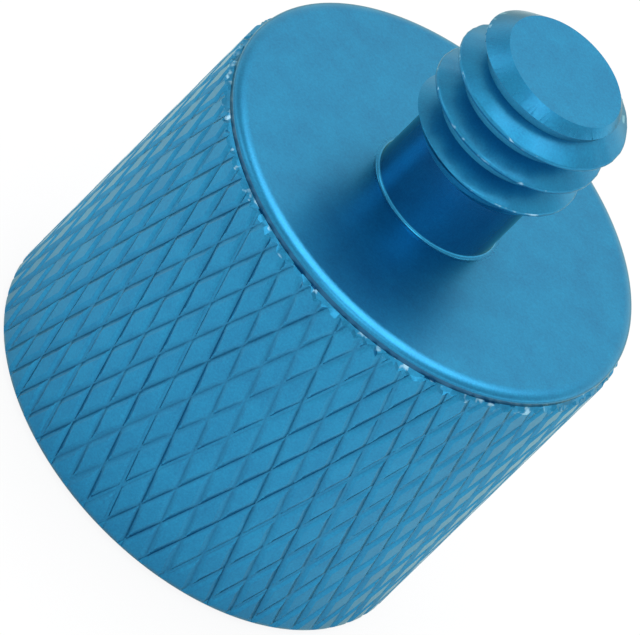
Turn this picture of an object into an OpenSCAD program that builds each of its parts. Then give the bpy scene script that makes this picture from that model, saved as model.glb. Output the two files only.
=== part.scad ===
// Tripod thread adapter: a knurled cylinder with a threaded stud on its top face and
// a larger threaded hole in its flat underside, turned from one piece of bar.
// The origin is the centre of the flat underside, and +Z runs along the axis to the stud.
// Screw threads are drawn as machinists draw them: the stud at its crests, the hole at its
// tap drill.

/* [Body] */
// Diameter over the tops of the knurl
body_d = 16.5; // [14.5:0.1:30]
// Height from the flat underside to the top face
body_h = 13.4; // [12.4:0.1:30]
// Radius of the smooth rounded edge round the top face
top_edge_r = 0.3; // [0.1:0.05:1]
// Radius of the smooth rounded edge round the underside
bottom_edge_r = 0.35; // [0.1:0.05:1]
// How far both smooth edges are turned below the roots of the knurl
edge_undercut = 0.02; // [0.02:0.01:0.3]

/* [Knurl] */
// Number of grooves round the body in each of the two directions
knurl_count = 57; // [24:1:80]
// Height of one diamond along the axis, from crossing to crossing
diamond_h = 2.95; // [1.2:0.05:6]
// Width of a groove at its top, measured round the body
groove_w = 0.26; // [0.1:0.01:0.5]
// Depth of a groove below the tops of the diamonds
groove_depth = 0.1; // [0.04:0.01:0.3]
// Height of a crossing of grooves above the underside
crossing_z = 0.4; // [0:0.01:3]
// Turn of the whole pattern round the axis
knurl_turn = 3.54; // [0:0.01:15]

/* [Stud] */
// Diameter over the thread of the stud, a quarter-inch camera thread
stud_d = 6.35; // [5.2:0.05:12]
// Length of the stud above the top face
stud_l = 7.13; // [5:0.01:16]
// Diameter of the plain neck under the thread
neck_d = 4.78; // [3:0.01:5]
// Height of the plain neck
neck_h = 2.45; // [1:0.05:3.5]
// Radius of the fillet at the foot of the neck
neck_fillet_r = 0.2; // [0.05:0.05:0.8]
// Width of the chamfer on the stud's tip, measured across the end
tip_chamfer_w = 0.91; // [0.2:0.01:1.4]
// Height of the chamfer on the stud's tip
tip_chamfer_h = 0.87; // [0.1:0.01:1]

/* [Hole] */
// Tap drill diameter of the hole, for a three-eighths-inch tripod thread
hole_d = 8; // [5:0.1:9]
// Depth of the full diameter of the hole
hole_depth = 9.2; // [4:0.1:9.5]
// Diameter of the countersunk mouth
mouth_d = 10; // [9.2:0.1:12]
// Full angle of the drill's point
drill_point = 118; // [90:1:140]

/* [Hidden] */
$fn = 72;
body_r = body_d / 2;
root_r = body_r - groove_depth;
edge_r = root_r - edge_undercut;
hole_r = hole_d / 2;
mouth_r = mouth_d / 2;
stud_r = stud_d / 2;
neck_r = neck_d / 2;
total_h = body_h + stud_l;
knurl_low = bottom_edge_r;
knurl_high = body_h - top_edge_r;
point_h = hole_r / tan(drill_point / 2);
step = 360 / knurl_count;
row_h = diamond_h / 2;
// Share of a diamond's cell that is left flat between the grooves
flat_share = 1 - groove_w / (body_r * step * PI / 180);
// Rows of crossings that reach past both ends of the knurl
first_row = -ceil(crossing_z / row_h) - 1;
last_row = ceil((knurl_high - crossing_z) / row_h);
rows = last_row - first_row;

// Corner of a rounded edge, to be cut from a section: the edge passes through x, z
module edge_corner(x, z, r, up) {
    translate([x - r, z - up * r])
        mirror([0, up > 0 ? 0 : 1])
            difference() {
                square(r + 1);
                circle(r, $fn = 24);
            }
}

// Half section of the body, wide enough at the knurl to leave the bar as it is
module body_section() {
    difference() {
        square([edge_r, body_h]);
        edge_corner(edge_r, 0, bottom_edge_r, -1);
        edge_corner(edge_r, body_h, top_edge_r, 1);
    }
    translate([0, knurl_low])
        square([body_r + 1, knurl_high - knurl_low]);
}

// Half section of the stud: fillet, neck, underside of the thread, thread and tip
module stud_section() {
    under_h = stud_r - neck_r;
    polygon([
        [0, body_h - 1],
        [neck_r, body_h - 1],
        [neck_r, body_h + neck_h],
        [stud_r, body_h + neck_h + under_h],
        [stud_r, total_h - tip_chamfer_h],
        [stud_r - tip_chamfer_w, total_h],
        [0, total_h]
    ]);
    translate([neck_r, body_h])
        difference() {
            translate([-0.1, -0.1])
                square(neck_fillet_r + 0.1);
            translate([neck_fillet_r, neck_fillet_r])
                circle(neck_fillet_r, $fn = 24);
        }
}

// Half section of the hole: countersunk mouth, tapped length and drill point
module hole_section() {
    mouth_h = mouth_r - hole_r;
    polygon([
        [0, -1],
        [mouth_r + 1, -1],
        [hole_r, mouth_h],
        [hole_r, hole_depth],
        [0, hole_depth + point_h]
    ]);
}

function on_bar(r, turn, z) = [r * cos(turn + knurl_turn), r * sin(turn + knurl_turn), z];

// A row holds, for each cell, a crossing of grooves and the two side corners of a diamond
function row_points(j) = [
    for (i = [0 : knurl_count - 1])
        let (turn = (i + j / 2) * step, z = crossing_z + j * row_h)
            each [
                on_bar(root_r, turn, z),
                on_bar(body_r, turn + (1 - flat_share) / 2 * step, z),
                on_bar(body_r, turn + (1 + flat_share) / 2 * step, z)
            ]
];

// Between two rows lie the upper tips of one row of diamonds and the lower tips of the next
function tip_points(j) = [
    for (i = [0 : knurl_count - 1])
        let (turn = (i + j / 2) * step, z = crossing_z + j * row_h)
            each [
                on_bar(body_r, turn + step / 2, z + flat_share * row_h),
                on_bar(body_r, turn, z + (1 - flat_share) * row_h)
            ]
];

// Flats and groove flanks between row k and the next, each as triangles seen from outside
function cell_faces(k) = [
    for (i = [0 : knurl_count - 1])
        let (
            before = (i + knurl_count - 1) % knurl_count,
            low = 5 * knurl_count * k,
            tips = low + 3 * knurl_count,
            high = low + 5 * knurl_count,
            crossing = low + 3 * i,
            left = crossing + 1,
            right = crossing + 2,
            right_before = low + 3 * before + 2,
            tip = tips + 2 * i,
            tip_before = tips + 2 * before,
            tip_above = tips + 2 * i + 1,
            next = high + 3 * i,
            next_before = high + 3 * before,
            left_above = next_before + 1,
            right_above = next_before + 2
        )
            each [
                [left, tip, right],
                [left_above, right_above, tip_above],
                [crossing, tip, left],
                [crossing, next, tip],
                [crossing, right_above, next],
                [crossing, tip_above, right_above],
                [right_before, next_before, crossing],
                [right_before, tip_before, next_before],
                [crossing, left_above, tip_above],
                [crossing, next_before, left_above]
            ]
];

// Bar with crossed V grooves all round, plain above the knurl up to the end of the stud
module knurled_bar() {
    ring = 3 * knurl_count;
    top_row = 5 * knurl_count * rows;
    points = [
        for (j = [first_row : last_row - 1]) each concat(row_points(j), tip_points(j)),
        each row_points(last_row),
        for (p = row_points(last_row)) [p.x, p.y, total_h + 1]
    ];
    faces = [
        [for (i = [0 : ring - 1]) i],
        for (k = [0 : rows - 1]) each cell_faces(k),
        for (i = [0 : ring - 1])
            let (a = top_row + i, b = top_row + (i + 1) % ring)
                each [[a, a + ring, b], [b, a + ring, b + ring]],
        [for (i = [ring - 1 : -1 : 0]) top_row + ring + i]
    ];
    polyhedron(points, faces, convexity = 6);
}

module adapter_body() {
    color("steelblue")
        intersection() {
            knurled_bar();
            rotate_extrude()
                difference() {
                    union() {
                        body_section();
                        stud_section();
                    }
                    hole_section();
                }
        }
}

adapter_body();
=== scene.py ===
# %% [markdown]
# # Tripod thread adapter
#
# A small adapter turned from one piece of aluminium bar and anodised blue. A knurled
# cylinder carries a quarter-inch camera stud on its flat top face, and its underside has a
# three-eighths-inch tapped hole. This lesson makes it as a lathe hand would: a knurled bar,
# a turned shape that trims it, a cut thread and a tapped hole.

import math
import random

import bpy
import mathutils
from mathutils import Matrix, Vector


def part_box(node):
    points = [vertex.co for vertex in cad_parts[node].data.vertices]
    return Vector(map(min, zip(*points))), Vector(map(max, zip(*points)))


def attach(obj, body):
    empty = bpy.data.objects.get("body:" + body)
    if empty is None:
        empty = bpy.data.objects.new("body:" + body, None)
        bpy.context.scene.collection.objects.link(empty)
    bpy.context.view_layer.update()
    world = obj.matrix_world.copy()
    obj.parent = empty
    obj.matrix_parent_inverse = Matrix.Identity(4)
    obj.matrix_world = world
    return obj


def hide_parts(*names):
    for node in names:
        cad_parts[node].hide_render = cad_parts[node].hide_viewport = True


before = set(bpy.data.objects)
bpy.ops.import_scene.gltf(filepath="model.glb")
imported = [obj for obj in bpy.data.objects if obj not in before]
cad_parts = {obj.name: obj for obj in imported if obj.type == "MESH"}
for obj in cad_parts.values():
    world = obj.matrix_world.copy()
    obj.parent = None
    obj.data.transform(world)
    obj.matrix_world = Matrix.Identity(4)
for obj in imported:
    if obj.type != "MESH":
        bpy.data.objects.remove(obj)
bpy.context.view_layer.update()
part_low, part_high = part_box("adapter_body")
print("the solid reaches from", part_low, "to", part_high)

# %% [markdown]
# ## Sizes
#
# Everything is modelled with one unit as one millimetre, because the finest steps are only
# some hundredths of a millimetre, and the mesh tools merge points that lie closer than a
# ten-thousandth of a unit. The finished piece is resized to metres in one step. The width
# and height come from the frame, and the rest are the part's own sizes.

# %% Driving sizes in millimetres
MM = 0.001
body_r = (part_high[0] - part_low[0]) / MM / 2
total_h = (part_high[2] - part_low[2]) / MM
stud_l = 7.13
body_h = total_h - stud_l
print(f"body {2 * body_r:.2f} across, {body_h:.2f} high, {total_h:.2f} over all")

# %% [markdown]
# ## Camera
#
# The photograph was taken from far away with a very long lens, so parallel edges stay nearly
# parallel. It looks down at the part by about 34.5 degrees and is rolled, so that the axis
# points to the upper right. A camera could be moved by eye until the pictures match. Here it
# is worked out instead, because it then stays right when the part changes: it is turned by
# two angles and placed by the middle of the top face, which it sees at a known place.

# %% Camera
picture_w = 640
sensor_w = 36
focal_px = 20581
elevation = math.radians(34.55)
roll = math.radians(45.38)
# The camera was found in radii of the body: its distance, and how far the middle of the top
# face lies to the right of the picture's middle and above it
found_r, away_radii = 8.25, 82.146
away = away_radii * found_r * MM
aim_px = (0.468 * focal_px / away_radii, 0.4756 * focal_px / away_radii)

view_back = Vector((0, -math.cos(elevation), math.sin(elevation)))
view_up = Vector((0, math.sin(elevation), math.cos(elevation)))
view_right = Vector((1, 0, 0))
# The picture's own right and up, turned so that the axis leans to the upper right
right = view_right * math.cos(roll) + view_up * math.sin(roll)
up = view_up * math.cos(roll) - view_right * math.sin(roll)
top_centre = Vector((0, 0, body_h * MM))
pixel = away / focal_px
aim = right * aim_px[0] * pixel, up * aim_px[1] * pixel
camera_place = top_centre + view_back * away - aim[0] - aim[1]

camera_data = bpy.data.cameras.new("photo_camera")
camera = bpy.data.objects.new("photo_camera", camera_data)
bpy.context.scene.collection.objects.link(camera)
camera_data.sensor_width = sensor_w
camera_data.lens = sensor_w * focal_px / picture_w
camera_data.clip_start, camera_data.clip_end = 0.05, 3
facing = mathutils.Matrix((right, up, view_back)).transposed()
camera.matrix_world = mathutils.Matrix.Translation(camera_place) @ facing.to_4x4()
bpy.context.scene.camera = camera
print(f"lens {camera_data.lens:.0f} mm, {away:.3f} m away")

# %% [markdown]
# ## Small helpers for modelling
#
# An operator acts on all that is selected, so each step starts with one piece selected and
# nothing else. A modifier is applied as soon as it is set, so that the next step works on the
# finished mesh. A tool that joins, trims or cuts a piece is thrown away afterwards.

# %% Helpers for selecting, applying and cutting


def only(piece):
    """Leaves one object selected and active."""
    bpy.ops.object.select_all(action="DESELECT")
    piece.select_set(True)
    bpy.context.view_layer.objects.active = piece


def named(name):
    """Names the object that the last primitive made, and its mesh."""
    piece = bpy.context.active_object
    piece.name = piece.data.name = name
    return piece


def modify(piece, kind, **settings):
    """Adds one modifier with its settings and applies it."""
    only(piece)
    modifier = piece.modifiers.new(kind.lower(), kind)
    for key, value in settings.items():
        setattr(modifier, key, value)
    bpy.ops.object.modifier_apply(modifier=modifier.name)


def combine(piece, tool, operation):
    """Joins, trims or cuts a piece with a closed tool, which is then thrown away."""
    modify(piece, "BOOLEAN", object=tool, operation=operation, solver="MANIFOLD")
    bpy.data.objects.remove(tool)
    print(f"{piece.name}: {operation.lower()}, {len(piece.data.polygons)} faces")


def cut_to_length(piece, low, high):
    """Cuts a bar in edit mode off flat at two heights and closes its ends."""
    for height, keep_above in ((low, True), (high, False)):
        bpy.ops.mesh.select_all(action="SELECT")
        bpy.ops.mesh.bisect(
            plane_co=(0, 0, height), plane_no=(0, 0, 1), use_fill=True,
            clear_inner=keep_above, clear_outer=not keep_above,
        )
    bpy.ops.mesh.select_all(action="SELECT")
    bpy.ops.mesh.normals_make_consistent(inside=False)
    bpy.ops.mesh.select_all(action="DESELECT")
    bpy.ops.mesh.select_mode(type="VERT")
    bpy.ops.mesh.select_non_manifold()
    bpy.ops.object.mode_set(mode="OBJECT")
    open_points = sum(vertex.select for vertex in piece.data.vertices)
    print(f"{piece.name}: {len(piece.data.polygons)} faces, {open_points} open points")


# %% [markdown]
# ## A lathe
#
# A turned shape is a circle that is extruded along the axis and resized at each station, from
# the bottom up. A station is a radius and a height. The Screw modifier could sweep the
# section round instead, but then its seam and both of its ends would have to be merged.

# %% Turning a closed shape from its stations
# Points round the body: four for each groove of the knurl
around = 228


def turned(name, stations, segments=around):
    """A closed solid of revolution about the upright axis."""
    first_r, first_z = stations[0]
    bpy.ops.object.select_all(action="DESELECT")
    bpy.ops.mesh.primitive_circle_add(
        vertices=segments, radius=first_r, fill_type="NGON", location=(0, 0, first_z)
    )
    piece = named(name)
    bpy.ops.object.transform_apply(location=True)
    bpy.ops.object.mode_set(mode="EDIT")
    bpy.ops.mesh.select_mode(type="EDGE")
    bpy.ops.mesh.select_all(action="SELECT")
    for (before_r, before_z), (r, z) in zip(stations, stations[1:]):
        bpy.ops.mesh.extrude_edges_move(TRANSFORM_OT_translate={"value": (0, 0, z - before_z)})
        scale = r / before_r
        bpy.ops.transform.resize(value=(scale, scale, 1), center_override=(0, 0, z))
    bpy.ops.mesh.edge_face_add()
    bpy.ops.mesh.select_all(action="SELECT")
    bpy.ops.mesh.normals_make_consistent(inside=False)
    bpy.ops.object.mode_set(mode="OBJECT")
    return piece


# %% [markdown]
# ## One cell of the knurl
#
# Knurling wheels press two families of slanting grooves into the bar, and flat-topped
# diamonds stay between them. The pattern repeats, so one cell is modelled and copied. It
# starts as a square plane, bisected along the lines of one groove of each family, then turned
# by 45 degrees and stretched to the height and width of a diamond. Across a groove lie a
# bevel, a flank down to the middle, a flank up again and another bevel. A bump in the
# material would be quicker, but it would leave the outline of the part smooth.

# %% The cell, from a plane
grooves_round = 57
diamond_h = 2.95
diamond_w = 2 * math.pi * body_r / grooves_round
# Shares of the cell's side, counted from the near side of the groove: its near line, middle,
# far line and far side, then both sides of the flat crown
cell_lines = [0.06, 0.12, 0.18, 0.24, 0.33, 0.91]

bpy.ops.object.select_all(action="DESELECT")
bpy.ops.mesh.primitive_plane_add(size=1, location=(0.5, 0, 0.5), rotation=(math.pi / 2, 0, 0))
knurl = named("knurled_bar")
bpy.ops.object.transform_apply(location=True, rotation=True)
bpy.ops.object.mode_set(mode="EDIT")
for share in cell_lines:
    for family in ((1, 0, 0), (0, 0, 1)):
        bpy.ops.mesh.select_all(action="SELECT")
        bpy.ops.mesh.bisect(plane_co=(share, 0, share), plane_no=family, threshold=1e-5)
bpy.ops.mesh.select_all(action="SELECT")
bpy.ops.transform.rotate(value=math.pi / 4, orient_axis="Y", center_override=(0, 0, 0))
bpy.ops.transform.resize(
    value=(diamond_w / math.sqrt(2), 1, diamond_h / math.sqrt(2)), center_override=(0, 0, 0)
)
bpy.ops.object.mode_set(mode="OBJECT")
print(f"cell of {len(knurl.data.polygons)} faces, {diamond_w:.3f} by {diamond_h:.2f}")

# %% [markdown]
# ## The knurled bar
#
# The cell is repeated 57 times round the bar and in rows up the bar. No two grooves came out
# alike, and some look doubled, as when a wheel comes round out of step: shallower in the
# middle and deeper at the sides. Each groove gets its own depths from a seeded draw, so that
# every run gives the same bar. The sheet is then rolled up with the Bend mode of Simple
# Deform, its seam is merged, and both ends are cut flat and closed.

# %% Rows of cells with a depth for each groove
random.seed(8)
rows = 12
bevel_depth = 0.036
# Depths of a groove in its middle and at both lines, and what doubling changes in each
middle_depth, line_depth = 0.106, 0.071
middle_rise, near_drop, far_drop = 0.032, 0.010, 0.014
depth_spread = 0.06
# A point this near to the side of a cell still counts as on it
nudge = 0.001

spread = {"use_relative_offset": False, "use_constant_offset": True}
joins = {"use_merge_vertices": True, "merge_threshold": 1e-4}
across, upward = (diamond_w, 0, 0), (diamond_w / 2, 0, diamond_h / 2)
modify(knurl, "ARRAY", count=grooves_round, constant_offset_displace=across, **spread, **joins)
modify(knurl, "ARRAY", count=rows, constant_offset_displace=upward, **spread, **joins)


def drawn_grooves():
    """Depths of the near line, middle and far line of every groove of a family."""
    grooves = []
    for _ in range(grooves_round):
        doubled = random.random() ** 2
        middle = middle_depth - middle_rise * doubled
        near, far = line_depth + near_drop * doubled, line_depth + far_drop * doubled
        deeper = random.uniform(1 - depth_spread, 1 + depth_spread)
        grooves.append((deeper * near, deeper * middle, deeper * far))
    return grooves


def depth_at(place, grooves):
    """Depth below the crown at a place counted in cells across a family of grooves."""
    near, middle, far = grooves[math.floor(place + nudge) % grooves_round]
    levels = (bevel_depth, near, middle, far, bevel_depth, 0, 0, bevel_depth)
    profile = list(zip([0] + cell_lines + [1], levels))
    share = max((place + nudge) % 1 - nudge, 0)
    for (a, low), (b, high) in zip(profile, profile[1:]):
        if share <= b:
            return low + (high - low) * (share - a) / (b - a)


leaning_right, leaning_left = drawn_grooves(), drawn_grooves()
for vertex in knurl.data.vertices:
    x, z = vertex.co.x / diamond_w, vertex.co.z / diamond_h
    vertex.co.y = max(depth_at(z + x, leaning_left), depth_at(z - x, leaning_right))
print(f"sheet of {len(knurl.data.polygons)} faces")

# %% Rolling the sheet into a bar
# The point of the pattern at this share of a cell comes to this turn and height
pattern_share = 0.14
pattern_turn = math.radians(5.35)
pattern_z = 0.51
# The bar is this much longer than the body at each end, for facing
facing_stock = 0.5

places = [vertex.co.x for vertex in knurl.data.vertices]
bend = 2 * math.pi * (max(places) - min(places)) / (grooves_round * diamond_w)
modify(knurl, "SIMPLE_DEFORM", deform_method="BEND", deform_axis="Z", angle=bend)
only(knurl)
bpy.ops.object.mode_set(mode="EDIT")
bpy.ops.mesh.select_all(action="SELECT")
bpy.ops.mesh.remove_doubles(threshold=1e-3)
bpy.ops.transform.translate(value=(0, -body_r, pattern_z - (pattern_share + 1) * diamond_h))
# The operator turns the other way with no window
bpy.ops.transform.rotate(value=-pattern_turn, orient_axis="Z", center_override=(0, 0, 0))
cut_to_length(knurl, -facing_stock, body_h + facing_stock)

# %% [markdown]
# ## The turned body
#
# After knurling, both ends of the bar are faced and their edges rounded. Under the smooth lip
# at the top runs a narrow undercut strip, and below it the knurl starts with small slanting
# facets. They are ragged, as where soft metal tears a little at the ends of the grooves. The
# lower edge has a plain rounding. A bevel would have to deal with the many edges of the
# knurl that end there. So one turned shape trims the bar instead: it has the section of
# both ends and is wider than the bar along the knurl.

# %% Facing and rounding the bar
# The lip: how far its wall lies inside the knurl, and the width and height of its rounding
step_in, edge_w, edge_h = 0.14, 0.48, 0.25
# The strip under it, the facets below the strip and how far down these are torn at most
step_h, undercut = 0.22, 0.04
facet_h, ragged_h = 0.11, 0.20
lower_edge_w, lower_edge_h = 0.55, 0.50
# What is wider than the bar by this much trims nothing, and the shape flares out over flare_h
past, clear_r, flare_h = 0.02, body_r + 1, 0.3

wall_r = body_r - step_in
step_z = body_h - edge_h - step_h
facet_z = step_z - facet_h


def rounded_edge(face_z, inwards, edge_r, width, height):
    """Stations from the flat end face over a rounded edge to an upright wall."""
    quarter = [math.radians(90 - 9 * i) for i in range(11)]
    return [
        (edge_r - width + width * math.cos(a), face_z + inwards * height * (1 - math.sin(a)))
        for a in quarter
    ]


lower = rounded_edge(0, 1, body_r + past / 2, lower_edge_w, lower_edge_h) + [
    (clear_r, lower_edge_h + flare_h),
]
upper = rounded_edge(body_h, -1, wall_r, edge_w, edge_h) + [
    (wall_r - undercut, step_z),
    (wall_r + past, step_z),
    (body_r + past, facet_z),
    (clear_r, facet_z - flare_h),
]
body = turned("adapter", lower + upper[::-1])
ragged = [ragged_h * random.random() ** 2 for _ in range(around)]
for vertex in body.data.vertices:
    if math.hypot(vertex.co.x, vertex.co.y) > wall_r + past / 2 and vertex.co.z > body_h / 2:
        point = round(math.atan2(vertex.co.y, vertex.co.x) / (2 * math.pi) * around)
        vertex.co.z -= ragged[point % around]
combine(body, knurl, "INTERSECT")

# %% [markdown]
# ## Threads
#
# A thread is one pitch of its section swept round and up by the Screw modifier, which makes a
# rod once it is cut off flat and closed. A curve could carry the section too, but it would
# twist on the way. The root is flat and the crest is rounded, because a rounded root would
# catch the light as a bright line. The stud has a quarter-inch thread of twenty turns to the
# inch, and the hole a three-eighths-inch thread of sixteen. Both are right-handed, so the
# crest climbs as it goes round against the clock.

# %% A threaded rod
inch = 25.4
flank_slope = math.tan(math.radians(30))
thread_steps = 96


def threaded_rod(name, pitch, crest_r, root_r, crest_w, low, high, crest_z):
    """A closed rod with 60-degree flanks, whose crest passes crest_z on the +X side."""
    flank_h = (crest_r - root_r) * flank_slope
    section = [(root_r, 0), (root_r, pitch / 2 - crest_w / 2 - flank_h)]
    # The crest is an arc that runs smoothly into both flanks
    round_r = crest_w / 2 / flank_slope
    for angle in (-60, -45, -30, -15, 0):
        a = math.radians(angle)
        r, z = round_r * math.cos(a), round_r * math.sin(a)
        section.append((crest_r - round_r + r, pitch / 2 + z))
    section += [(r, pitch - z) for r, z in section[-2::-1]]
    start = crest_z - pitch / 2 - pitch * math.ceil((crest_z - low) / pitch + 1)
    turns = math.ceil((high - start) / pitch) + 1
    bpy.ops.object.select_all(action="DESELECT")
    bpy.ops.mesh.primitive_circle_add(vertices=len(section), fill_type="NOTHING")
    rod = named(name)
    for vertex, (r, z) in zip(rod.data.vertices, section):
        vertex.co = (r, 0, start + z)
    # The edge that closes the circle is no part of the section
    closing = {0, len(section) - 1}
    for edge in rod.data.edges:
        edge.select = set(edge.vertices) == closing
    for vertex in rod.data.vertices:
        vertex.select = vertex.index in closing
    bpy.ops.object.mode_set(mode="EDIT")
    bpy.ops.mesh.select_mode(type="EDGE")
    bpy.ops.mesh.delete(type="EDGE_FACE")
    bpy.ops.object.mode_set(mode="OBJECT")
    modify(
        rod, "SCREW", angle=2 * math.pi, screw_offset=pitch, iterations=turns,
        steps=thread_steps, render_steps=thread_steps, use_smooth_shade=False,
    )
    bpy.ops.object.mode_set(mode="EDIT")
    bpy.ops.mesh.select_all(action="SELECT")
    bpy.ops.mesh.remove_doubles(threshold=1e-4)
    cut_to_length(rod, low, high)
    return rod


# %% [markdown]
# ## The camera stud
#
# The stud starts as a threaded rod. A turned envelope trims it: the end is chamfered, and the
# thread starts with a slope above a plain neck. The thread could also be run out along a
# curve, but here it ends as on a stud whose neck is turned before the thread is cut.

# %% Trimming the thread
crest_r, root_r, crest_w = 3.175, 2.40, 0.12
neck_r, neck_h = 2.39, 2.45
tip_chamfer_w, tip_chamfer_h = 0.91, 0.87
# The chamfer is carried on this far past the crest, so that its foot stays outside the rod
rim_past_w, rim_past_h = 0.03, 0.0134
# Height above the top face at which a crest passes in front, on the side of the camera
crest_in_front = 5.77
# The slope under the thread starts this far inside the neck, and the rod has this much spare
slope_start, spare = 0.3, 0.5

stud_pitch = inch / 20
crest_at_x = body_h + crest_in_front + stud_pitch / 4
stud = threaded_rod(
    "stud", stud_pitch, crest_r, root_r, crest_w, body_h + spare, total_h + spare, crest_at_x
)
envelope = turned("stud_envelope", [
    (neck_r - slope_start, body_h + neck_h - slope_start),
    (neck_r, body_h + neck_h),
    (crest_r + rim_past_w, body_h + neck_h + crest_r + rim_past_w - neck_r),
    (crest_r + rim_past_w, total_h - tip_chamfer_h - rim_past_h),
    (crest_r - tip_chamfer_w, total_h),
], thread_steps)
combine(stud, envelope, "INTERSECT")

# %% [markdown]
# ## The rim of the chamfer
#
# The chamfer meets the thread in a rim that climbs and falls with the groove, and left sharp
# it would show as a hard dark line. Its edges are picked in code: one face beside them lies
# in the cone of the chamfer and the other is steeper. Then they are bevelled. A Bevel
# modifier that goes by the angle would take other sharp edges of the stud too.

# %% Breaking the sharp rim of the chamfer
rim_round = 0.035
# How close a face has to be to the cone's slope and place, and what counts as steeper
same_slope, same_place, steep = 0.02, 0.01, 0.3
cone_w, cone_h = tip_chamfer_w + rim_past_w, tip_chamfer_h + rim_past_h
cone_slope = math.cos(math.atan2(cone_h, cone_w))


def on_chamfer(face):
    """Whether a face of the stud lies in the cone of the chamfer."""
    inside = math.hypot(face.center.x, face.center.y) - crest_r + tip_chamfer_w
    off = (face.center.z - total_h) * cone_w + inside * cone_h
    return abs(face.normal.z - cone_slope) < same_slope and abs(off) < same_place


edge_faces = {}
for face in stud.data.polygons:
    for key in face.edge_keys:
        edge_faces.setdefault(key, []).append(face)
for element in (*stud.data.vertices, *stud.data.polygons):
    element.select = False
for edge in stud.data.edges:
    one, two = edge_faces[edge.key]
    steeper = min(one.normal.z, two.normal.z) < steep
    edge.select = on_chamfer(one) != on_chamfer(two) and steeper
print(f"{sum(edge.select for edge in stud.data.edges)} edges of the rim rounded")
only(stud)
bpy.ops.object.mode_set(mode="EDIT")
bpy.ops.mesh.select_mode(type="EDGE")
bpy.ops.mesh.bevel(offset=rim_round, segments=3, affect="EDGES", clamp_overlap=False)
bpy.ops.object.mode_set(mode="OBJECT")

# %% [markdown]
# ## Burr and neck
#
# The crests are a little uneven, as a die leaves them, so the points near them are pushed in
# and out by two sizes of noise, by some hundredths of a millimetre. Displacing them all with
# a modifier would move the roots too. The neck is turned with a small fillet where it meets
# the top face. It reaches into the body and into the thread, so that the three join.

# %% Unevenness of the crests, and the neck
burr, burr_reach, burr_lift = 0.018, 0.06, 0.8
# Waves of the noise in each millimetre, and the share of the finer one
coarse, fine, fine_share = 3.1, 8.3, 0.6
neck_fillet = 0.13
# How far the neck reaches into the body and into the thread
sink, rise = 0.5, 0.02

for vertex in stud.data.vertices:
    r = math.hypot(vertex.co.x, vertex.co.y)
    if r > crest_r - burr_reach:
        here = Vector((vertex.co.x, vertex.co.y, vertex.co.z))
        push = mathutils.noise.noise(here * coarse) + fine_share * mathutils.noise.noise(here * fine)
        vertex.co += Vector((vertex.co.x / r, vertex.co.y / r, burr_lift)) * push * burr


def arc(centre_r, centre_z, radius, start, end, steps):
    """Stations along an arc of the section; angles in degrees from straight outwards."""
    angles = [math.radians(start + (end - start) * i / steps) for i in range(steps + 1)]
    return [(centre_r + radius * math.cos(a), centre_z + radius * math.sin(a)) for a in angles]


foot = arc(neck_r + neck_fillet, body_h + neck_fillet, neck_fillet, 270, 180, 8)
neck = turned("neck", [(foot[0][0], body_h - sink)] + foot + [
    (neck_r, body_h + neck_h + rise),
    (neck_r - slope_start + rise, body_h + neck_h + slope_start),
], thread_steps)
combine(stud, neck, "UNION")
combine(body, stud, "UNION")

# %% [markdown]
# ## The tapped hole
#
# The underside takes a tripod's larger screw. A drill with the usual 118-degree point makes
# the hole, a countersink eases its mouth, and a tap cuts the thread. The same three tools
# are modelled and cut away in the same order, which gives the edges that real tools leave.
# The tap's tapered lead leaves the last turns shallow.

# %% Drill, countersink and tap
drill_r, drill_depth = 4.0, 9.2
mouth_r = 5.0
drill_point = math.radians(118)
point_h = drill_r / math.tan(drill_point / 2)
below = 1.0
hole_segments = 128
drill = turned("drill", [
    (mouth_r + below, -below),
    (drill_r, mouth_r - drill_r),
    (drill_r, drill_depth),
    (0.02, drill_depth + point_h),
], hole_segments)
combine(body, drill, "DIFFERENCE")

tap_r, tap_crest_w, tap_depth, lead_h = 4.80, 0.2, 8.2, 1.6
# The tap's roots and the end of its lead stay inside the drilled wall and cut nothing
tap_root_r, lead_end_r = drill_r - 0.12, drill_r - 0.15
tap_pitch = inch / 16
tap = threaded_rod("tap", tap_pitch, tap_r, tap_root_r, tap_crest_w, -below, tap_depth, 0)
lead = turned("tap_lead", [
    (tap_r + 0.5, -below - 1),
    (tap_r + 0.5, tap_depth - lead_h),
    (lead_end_r, tap_depth + 0.3),
], hole_segments)
combine(tap, lead, "INTERSECT")
combine(body, tap, "DIFFERENCE")

# %% [markdown]
# ## The finished piece
#
# The mesh is resized to metres about the origin, so that the object itself stays unscaled.
# Shading is smooth across small angles, which hides the flats of the turned shapes, and
# sharp across large ones, which keeps the facets of the knurl.

# %% Finishing the mesh in metres
smooth_up_to = math.radians(18)
only(body)
bpy.ops.object.mode_set(mode="EDIT")
bpy.ops.mesh.select_all(action="SELECT")
bpy.ops.transform.resize(value=(MM, MM, MM), center_override=(0, 0, 0))
bpy.ops.object.mode_set(mode="OBJECT")
bpy.ops.object.shade_smooth_by_angle(angle=smooth_up_to)
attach(body, "root")
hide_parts("adapter_body")
triangles = sum(len(face.vertices) - 2 for face in body.data.polygons)
print(f"adapter: {triangles} triangles")

# %% [markdown]
# ## Anodised aluminium
#
# The part is turned from aluminium and anodised: the surface is a thin clear layer of hard
# aluminium oxide that holds a blue dye. The eye sees a metal tinted blue from below the layer
# and a faint white gloss from its top, which grows where the surface is seen edge-on. So the
# shader is a metal in the dye's colour under a clear coat. Every pattern on it is worked out
# from Object coordinates, which need no unwrapping and stay on the piece when it moves.

# %% Colour and node helpers


def linear(code):
    """A hex colour as Blender's linear red, green, blue and alpha."""
    channels = [int(code[i:i + 2], 16) / 255 for i in (1, 3, 5)]
    bent = [c / 12.92 if c <= 0.04045 else ((c + 0.055) / 1.055) ** 2.4 for c in channels]
    return (*bent, 1.0)


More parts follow.
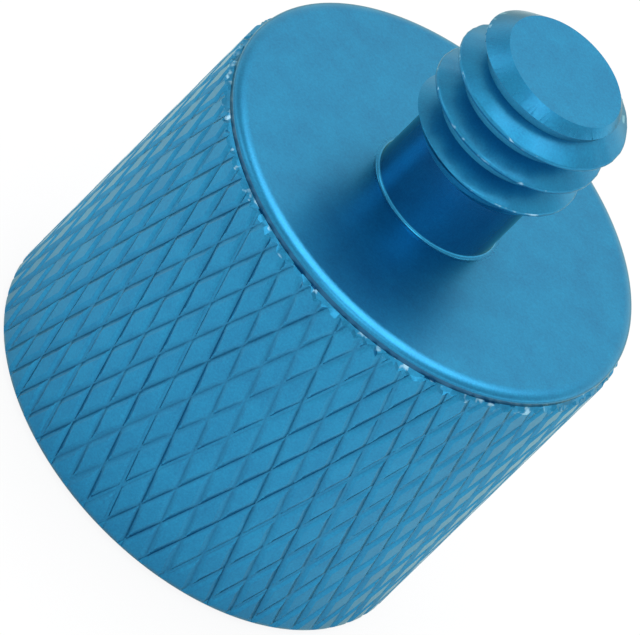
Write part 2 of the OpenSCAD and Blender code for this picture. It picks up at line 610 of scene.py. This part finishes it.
def add(tree, kind, links=None, **settings):
    """One node with its settings, its constant inputs and its links."""
    node = tree.nodes.new(kind)
    for key, value in settings.items():
        setattr(node, key, value)
    for socket, source in (links or {}).items():
        if hasattr(source, "is_output"):
            tree.links.new(source, node.inputs[socket])
        else:
            node.inputs[socket].default_value = source
    return node


# %% Metal under a clear coat
anodised = bpy.data.materials.new("blue_anodised_aluminium")
anodised.use_nodes = True
metal = anodised.node_tree
shader = metal.nodes["Principled BSDF"]
# The tint colours light that grazes the metal, which goes a long way through the dye
for socket, value in (
    ("Metallic", 1.0),
    ("Specular Tint", linear("#86ccb8")),
    ("Coat Weight", 0.85),
    ("Coat IOR", 1.35),
    ("Coat Roughness", 0.3),
):
    shader.inputs[socket].default_value = value
print(f"{anodised.name}: coat {shader.inputs['Coat Weight'].default_value:.2f}")

# %% [markdown]
# ### Dye and grain
#
# The blue isn't quite even, in patches about as large as a diamond, and a matte grain lies
# over it, as on a surface that is etched before it is anodised. Two noises mix two blues. The
# grain is drawn at 0.07 mm, coarser than a real one, so that it shows in the render.

# %% Dye in patches, and the grain
patch_size, grain_size, grain_share = 1.1 * MM, 0.07 * MM, 1.5
mottle_low, mottle_high = 0.6, 1.9
coords = add(metal, "ShaderNodeTexCoord")
patches = add(metal, "ShaderNodeTexNoise", {
    "Vector": coords.outputs["Object"], "Scale": 1 / patch_size, "Detail": 2.0,
})
grain = add(metal, "ShaderNodeTexNoise", {
    "Vector": coords.outputs["Object"], "Scale": 1 / grain_size, "Detail": 1.0,
})
mottle = add(metal, "ShaderNodeMath", {
    0: grain.outputs["Fac"], 1: grain_share, 2: patches.outputs["Fac"],
}, operation="MULTIPLY_ADD")
shift = add(metal, "ShaderNodeMapRange", {
    "Value": mottle.outputs[0], "From Min": mottle_low, "From Max": mottle_high,
})
dye = add(metal, "ShaderNodeMix", {
    0: shift.outputs["Result"], 6: linear("#0c72a0"), 7: linear("#178ebb"),
}, data_type="RGBA")
print(f"grain of {grain_size / MM} mm, patches of {patch_size / MM} mm")

# %% Where a point lies on the part
spot = add(metal, "ShaderNodeSeparateXYZ", {0: coords.outputs["Object"]})
flat = add(metal, "ShaderNodeCombineXYZ", {0: spot.outputs[0], 1: spot.outputs[1]})
radius = add(metal, "ShaderNodeVectorMath", {0: flat.outputs[0]}, operation="LENGTH")
on_stud = add(metal, "ShaderNodeMath", {
    0: spot.outputs[2], 1: (body_h + neck_h) * MM,
}, operation="GREATER_THAN")
print(f"the thread's colours start {body_h + neck_h:.2f} above the underside")

# %% [markdown]
# ### Wear and painted glints
#
# Pale metal shows where sharp corners lost the layer: at the upper end of the knurl, on the
# crests of the thread and on the chamfer's rim. The chips are partly worn metal and partly
# painted glints: they are pale enough to stand in for bright specks of light on these corners.
# The places could be found by their curvature, but the knurl has so many corners that all of
# it would look worn. So each place is a narrow band of height or radius, and a noise leaves
# chips of it.

# %% Chips of bare metal, partly painted glints
# Each band is given by half of its width
end_band, crest_band, rim_band = 0.10, 0.02, 0.12
rim_z, rim_r = body_h + 6.5, 2.8
chip_size, chip_from, chip_to = 0.45 * MM, 0.59, 0.68
at_end = add(metal, "ShaderNodeMath", {
    0: spot.outputs[2], 1: (step_z - end_band) * MM, 2: end_band * MM,
}, operation="COMPARE")
crest = add(metal, "ShaderNodeMath", {
    0: radius.outputs["Value"], 1: crest_r * MM, 2: crest_band * MM,
}, operation="COMPARE")
on_crest = add(metal, "ShaderNodeMath", {
    0: crest.outputs[0], 1: on_stud.outputs[0],
}, operation="MULTIPLY")
at_rim = add(metal, "ShaderNodeMath", {
    0: spot.outputs[2], 1: rim_z * MM, 2: rim_band * MM,
}, operation="COMPARE")
out_there = add(metal, "ShaderNodeMath", {
    0: radius.outputs["Value"], 1: rim_r * MM,
}, operation="GREATER_THAN")
on_rim = add(metal, "ShaderNodeMath", {
    0: at_rim.outputs[0], 1: out_there.outputs[0],
}, operation="MULTIPLY")
stud_edges = add(metal, "ShaderNodeMath", {
    0: on_rim.outputs[0], 1: on_crest.outputs[0],
}, operation="MAXIMUM")
sharp = add(metal, "ShaderNodeMath", {
    0: at_end.outputs[0], 1: stud_edges.outputs[0],
}, operation="MAXIMUM")
chips = add(metal, "ShaderNodeTexNoise", {
    "Vector": coords.outputs["Object"], "Scale": 1 / chip_size, "Detail": 2.0,
})
bare_and_glint = add(metal, "ShaderNodeMapRange", {
    "Value": chips.outputs["Fac"], "From Min": chip_from, "From Max": chip_to,
})
# Worn metal and painted glints: pale chips on the sharp corners.
wear_and_glints = add(metal, "ShaderNodeMath", {
    0: sharp.outputs[0], 1: bare_and_glint.outputs["Result"],
}, operation="MULTIPLY")
print(f"chips of {chip_size / MM} mm")

# %% [markdown]
# ### Painted shade in the grooves
#
# The grooves and the strip under the lip are painted darker than their shape alone makes
# them: this is painted shade in these recesses. They are found by radius and height, because
# both lie a little deeper than the crowns all round the body. The hole and the stud are left
# out by radius.

# %% Painted shade in the grooves and in the strip
groove_from, groove_to, groove_shade_share = 0.055, 0.10, 0.4
# What lies deeper below the crowns than hole_clear is the hole or the stud. The painted shade
# ends end_clear below the step, and the strip is what lies wall_clear inside the lip's wall.
hole_clear, end_clear, wall_clear = 0.21, 0.30, 0.002
knurl_low, knurl_high = lower_edge_w, step_z - end_clear
in_groove = add(metal, "ShaderNodeMapRange", {
    "Value": radius.outputs["Value"], "From Min": (body_r - groove_from) * MM,
    "From Max": (body_r - groove_to) * MM, "To Max": groove_shade_share,
})
past_hole = add(metal, "ShaderNodeMath", {
    0: radius.outputs["Value"], 1: (body_r - hole_clear) * MM,
}, operation="GREATER_THAN")
middle_z = (knurl_high + knurl_low) / 2
between_ends = add(metal, "ShaderNodeMath", {
    0: spot.outputs[2], 1: middle_z * MM, 2: (middle_z - knurl_low) * MM,
}, operation="COMPARE")
on_side = add(metal, "ShaderNodeMath", {
    0: past_hole.outputs[0], 1: between_ends.outputs[0],
}, operation="MULTIPLY")
groove_shade = add(metal, "ShaderNodeMath", {
    0: in_groove.outputs["Result"], 1: on_side.outputs[0],
}, operation="MULTIPLY")
under_lip = add(metal, "ShaderNodeMath", {
    0: spot.outputs[2], 1: (step_z + step_h / 2) * MM, 2: (step_h / 2) * MM,
}, operation="COMPARE")
inside_wall = add(metal, "ShaderNodeMath", {
    0: radius.outputs["Value"], 1: (wall_r - wall_clear) * MM,
}, operation="LESS_THAN")
in_strip = add(metal, "ShaderNodeMath", {
    0: under_lip.outputs[0], 1: inside_wall.outputs[0],
}, operation="MULTIPLY")
strip_shade = add(metal, "ShaderNodeMath", {
    0: past_hole.outputs[0], 1: in_strip.outputs[0],
}, operation="MULTIPLY")
# Painted shade: the colour is darkened in the grooves and in the strip under the lip.
painted_shade = add(metal, "ShaderNodeMath", {
    0: groove_shade.outputs[0], 1: strip_shade.outputs[0],
}, operation="MAXIMUM")
# The darker dye in this print is painted shade.
print(f"darker dye from {knurl_low:.2f} to {knurl_high:.2f} above the underside")

# %% Laying the colours over each other
# The chips come last, because bare metal holds no dye at all; their pale colour is partly a
# painted glint
colour = dye
# The first colour is painted shade for the grooves and the strip, and the second is the pale chips.
for mask, code in ((painted_shade, "#0a5c84"), (wear_and_glints, "#96c8e2")):
    colour = add(metal, "ShaderNodeMix", {
        0: mask.outputs[0], 6: colour.outputs[2], 7: linear(code),
    }, data_type="RGBA")
metal.links.new(colour.outputs[2], shader.inputs["Base Color"])
# The bare metal in this print is partly painted glints, and the darker dye is painted shade.
print("darker dye and bare metal laid over the dye")

# %% [markdown]
# ### Sheen
#
# The neck is the smoothest place, as if turned with a finer feed, and the body and the thread
# are satin. A bump could carry the marks of the tool, but they are too fine to show, so the
# roughness alone changes, by radius and height, and the grain makes it a little uneven.

# %% Roughness
smooth_r, satin_r = 2.50, 2.65
neck_rough, body_rough, thread_rough, grain_rough = 0.16, 0.30, 0.33, 0.08
neck_sheen = add(metal, "ShaderNodeMapRange", {
    "Value": radius.outputs["Value"], "From Min": smooth_r * MM, "From Max": satin_r * MM,
    "To Min": neck_rough, "To Max": body_rough,
})
thread_sheen = add(metal, "ShaderNodeMath", {
    0: on_stud.outputs[0], 1: thread_rough,
}, operation="MULTIPLY")
feed = add(metal, "ShaderNodeMath", {
    0: neck_sheen.outputs["Result"], 1: thread_sheen.outputs[0],
}, operation="MAXIMUM")
sheen = add(metal, "ShaderNodeMath", {
    0: grain.outputs["Fac"], 1: grain_rough, 2: feed.outputs[0],
}, operation="MULTIPLY_ADD")
metal.links.new(sheen.outputs[0], shader.inputs["Roughness"])
body.data.materials.clear()
body.data.materials.append(anodised)
print(f"{anodised.name}: {len(metal.nodes)} nodes")

# %% [markdown]
# ## Floor
#
# The part stands on a sheet of white paper. Enough light to make plain paper white would
# make the part too bright. So the paper glows where the camera looks at it, and a little
# where the metal mirrors it. What is left of its own surface keeps a faint shadow. Its colour
# is painted darker further out, a painted pool of light round the part, so that less light
# comes back from below, and it is clear from below.

# %% Floor
camera_glow, metal_glow = 0.9, 0.2
near_part, far_out = 0.035, 0.075
near_white, far_white = 0.88, 0.40
bpy.ops.object.select_all(action="DESELECT")
bpy.ops.mesh.primitive_plane_add(size=2, location=(0, 0, 0))
floor = named("floor")
white_paper = bpy.data.materials.new("white_paper")
white_paper.use_nodes = True
paper = white_paper.node_tree
paper.nodes.clear()
path = add(paper, "ShaderNodeLightPath")
by_camera = add(paper, "ShaderNodeMath", {
    0: path.outputs["Is Camera Ray"], 1: camera_glow,
}, operation="MULTIPLY")
by_metal = add(paper, "ShaderNodeMath", {
    0: path.outputs["Is Glossy Ray"], 1: metal_glow,
}, operation="MULTIPLY")
glowing = add(paper, "ShaderNodeMath", {
    0: by_camera.outputs[0], 1: by_metal.outputs[0],
}, operation="MAXIMUM")
ground = add(paper, "ShaderNodeTexCoord")
away_from = add(paper, "ShaderNodeVectorMath", {0: ground.outputs["Object"]}, operation="LENGTH")
# The paper's colour fades from near_white to far_white away from the part: a painted pool of light.
painted_light_pool = add(paper, "ShaderNodeMapRange", {
    "Value": away_from.outputs["Value"], "From Min": near_part, "From Max": far_out,
    "To Min": near_white, "To Max": far_white,
}, interpolation_type="SMOOTHSTEP")
matt = add(paper, "ShaderNodeBsdfDiffuse", {"Color": painted_light_pool.outputs["Result"]})
glow = add(paper, "ShaderNodeEmission", {"Color": (1, 1, 1, 1), "Strength": 1.0})
lit = add(paper, "ShaderNodeMixShader", {
    0: glowing.outputs[0], 1: matt.outputs[0], 2: glow.outputs[0],
})
see_through = add(paper, "ShaderNodeBsdfTransparent")
seen = add(paper, "ShaderNodeNewGeometry")
one_sided = add(paper, "ShaderNodeMixShader", {
    0: seen.outputs["Backfacing"], 1: lit.outputs[0], 2: see_through.outputs[0],
})
add(paper, "ShaderNodeOutputMaterial", {0: one_sided.outputs[0]})
floor.data.materials.append(white_paper)
print(f"{white_paper.name}: {len(paper.nodes)} nodes")

# %% [markdown]
# ## Light
#
# Metal shows what is round it more than its own colour, so the surroundings matter most. The
# world here is like a white tent: bright near the horizon, dimmer high up and more so
# towards both sides, and a little brighter towards +X. Three soft boxes give the highlights
# and the shadow. Bare lamps would leave hard spots on the neck.

# %% The tent
horizon, overhead, overhead_sides = 1.45, 0.90, 0.45
left_side, right_side = 0.85, 1.15
world = bpy.data.worlds.new("studio")
bpy.context.scene.world = world
world.use_nodes = True
sky = world.node_tree
toward = add(sky, "ShaderNodeTexCoord")
parts = add(sky, "ShaderNodeSeparateXYZ", {0: toward.outputs["Generated"]})
sideways = add(sky, "ShaderNodeMath", {
    0: parts.outputs["X"], 1: parts.outputs["X"],
}, operation="MULTIPLY")
ceiling = add(sky, "ShaderNodeMapRange", {
    "Value": sideways.outputs[0], "To Min": overhead, "To Max": overhead_sides,
})
wall = add(sky, "ShaderNodeMapRange", {
    "Value": parts.outputs["Z"], "From Min": 0.1, "From Max": 0.55,
    "To Min": horizon, "To Max": ceiling.outputs["Result"],
})
window = add(sky, "ShaderNodeMapRange", {
    "Value": parts.outputs["X"], "From Min": -1.0, "From Max": 1.0,
    "To Min": left_side, "To Max": right_side,
})
tent = add(sky, "ShaderNodeMath", {
    0: wall.outputs["Result"], 1: window.outputs["Result"],
}, operation="MULTIPLY")
background = sky.nodes["Background"]
background.inputs["Color"].default_value = (1, 1, 1, 1)
sky.links.new(tent.outputs[0], background.inputs["Strength"])
print(f"{world.name}: {len(sky.nodes)} nodes")

# %% Soft boxes
lamp_away = 0.4
# Name, turn round the part from the side of the camera and height, both in degrees, then the
# length of a side in metres, and the brightness of the face
soft_boxes = (
    ("overhead", 180, 75, 0.32, 2.4),
    ("left", -84, 34, 0.18, 1.2),
    ("front", 12, 56, 0.16, 1.8),
)
for name, turn, height, size, radiance in soft_boxes:
    lamp = bpy.data.lights.new(name, "AREA")
    lamp.shape, lamp.size = "SQUARE", size
    lamp.energy = radiance * math.pi * size * size
    turn, height = math.radians(turn), math.radians(height)
    level = lamp_away * math.cos(height)
    lamp_place = Vector((
        level * math.sin(turn), -level * math.cos(turn), lamp_away * math.sin(height),
    ))
    holder = bpy.data.objects.new(name, lamp)
    bpy.context.scene.collection.objects.link(holder)
    holder.location = lamp_place
    holder.rotation_euler = (-lamp_place).to_track_quat("-Z", "Y").to_euler()
    print(f"{name}: {lamp.energy:.2f} W")

bpy.context.scene.view_settings.view_transform = "Standard"
